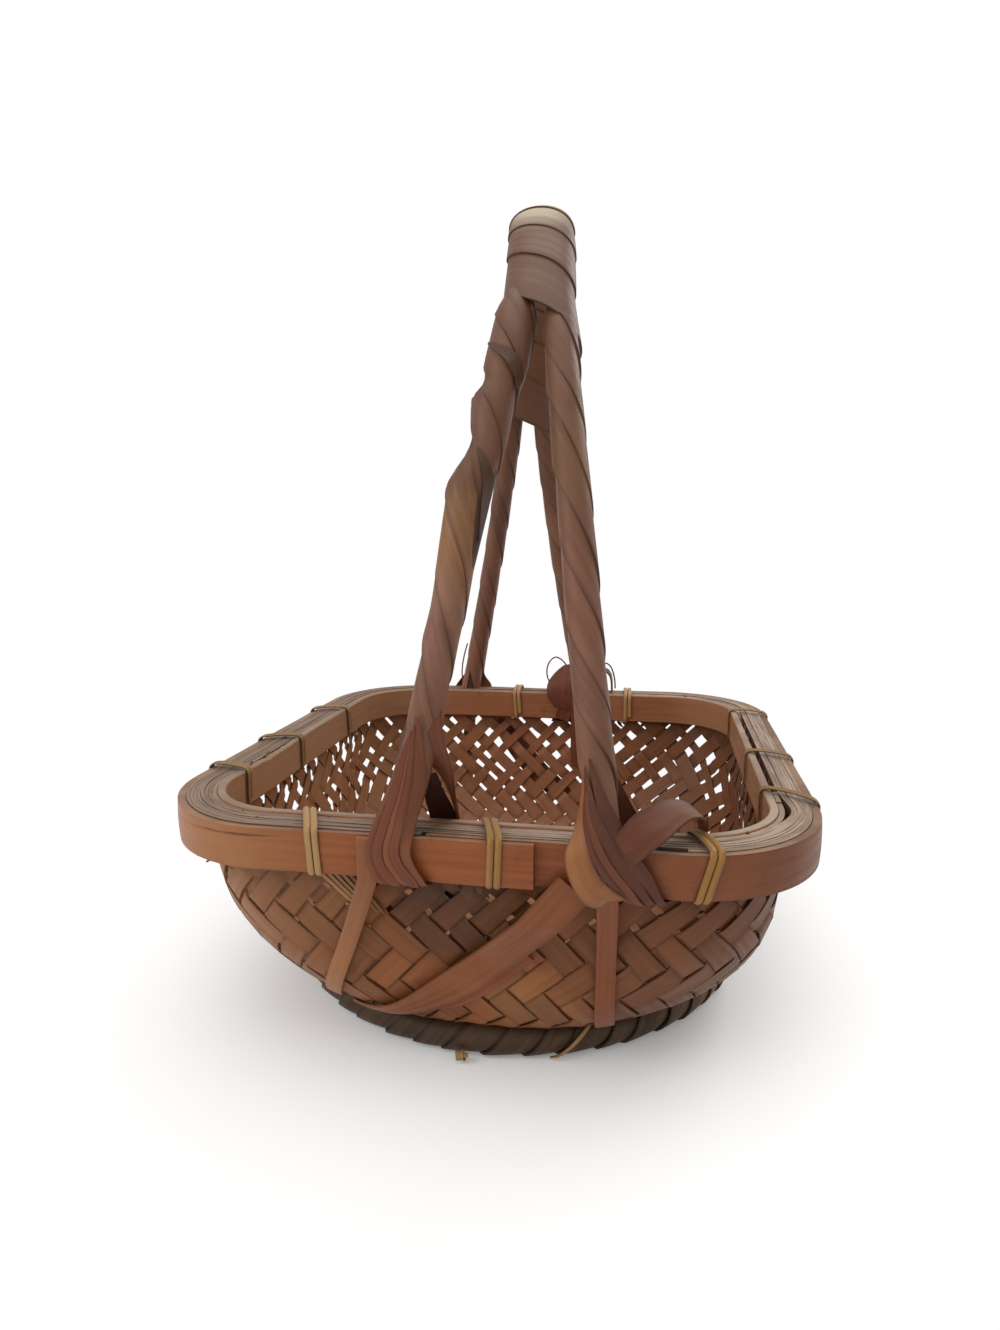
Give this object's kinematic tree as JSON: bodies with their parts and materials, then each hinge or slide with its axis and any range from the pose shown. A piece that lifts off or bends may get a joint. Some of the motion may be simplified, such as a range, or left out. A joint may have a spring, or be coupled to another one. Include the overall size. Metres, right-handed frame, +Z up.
{
  "type": "ikebana basket",
  "caption": "Woven bamboo flower basket: rounded square laminated rim on a round wound foot, with a tall arched handle of lashed and wrapped rods.",
  "frame": {"origin": "on the floor under the middle of the basket", "axes": "+Z up along the handle's height, the handle arches from the front (-Y) to the back (+Y), +X to the right of the front"},
  "size_m": [0.263, 0.2766, 0.3449],
  "materials": {
    "hoop": "split bamboo hoop, reddish brown with lengthwise grain, satin",
    "filler": "edges of stacked bamboo strips, grey brown, worn matt",
    "weave": "diagonal twill of thin bamboo strips, mid brown with tan highlights",
    "cane": "cane lashing, golden tan, semi-gloss",
    "wrap": "spiral wrapping strip, mauve brown with orange brown patches, satin",
    "strap": "flat bamboo straps, slats and sashes, reddish brown, satin",
    "rod": "bamboo rod, dark brown, satin",
    "foot": "wound foot ring, dark olive brown, matt"
  },
  "bodies": {
    "root": {"rim_outer_hoop": "hoop", "rim_inner_hoop": "hoop", "rim_filler_strip_1": "filler", "rim_filler_strip_2": "filler", "rim_filler_strip_3": "filler", "cane_lashing_front_1": "cane", "cane_lashing_front_2": "cane", "cane_lashing_front_3": "cane", "cane_lashing_right_1": "cane", "cane_lashing_right_2": "cane", "cane_lashing_right_3": "cane", "cane_lashing_back_1": "cane", "cane_lashing_back_2": "cane", "cane_lashing_back_3": "cane", "cane_lashing_left_1": "cane", "cane_lashing_left_2": "cane", "cane_lashing_left_3": "cane", "foot_cane_tie": "cane", "handle_rod_left": "rod", "handle_rod_right": "rod", "leg_wrap_front_left": "wrap", "leg_wrap_back_left": "wrap", "leg_wrap_front_right": "wrap", "leg_wrap_back_right": "wrap", "crown_wrap": "wrap", "slat_front_left": "strap", "tail_front_left": "rod", "strap_front_left": "strap", "slat_front_right": "strap", "tail_front_right": "rod", "strap_front_right": "strap", "slat_back_right": "strap", "tail_back_right": "rod", "strap_back_right": "strap", "slat_back_left": "strap", "strap_back_left": "strap", "woven_bowl": "weave", "sash_front": "strap", "sash_front_backing": "strap", "sash_back": "strap", "bow_front": "strap", "bow_back_large": "strap", "bow_back_small": "strap", "foot_ring_core": "foot", "foot_ring_wrap": "foot", "foot_knot": "foot"}
  },
  "joints": []
}
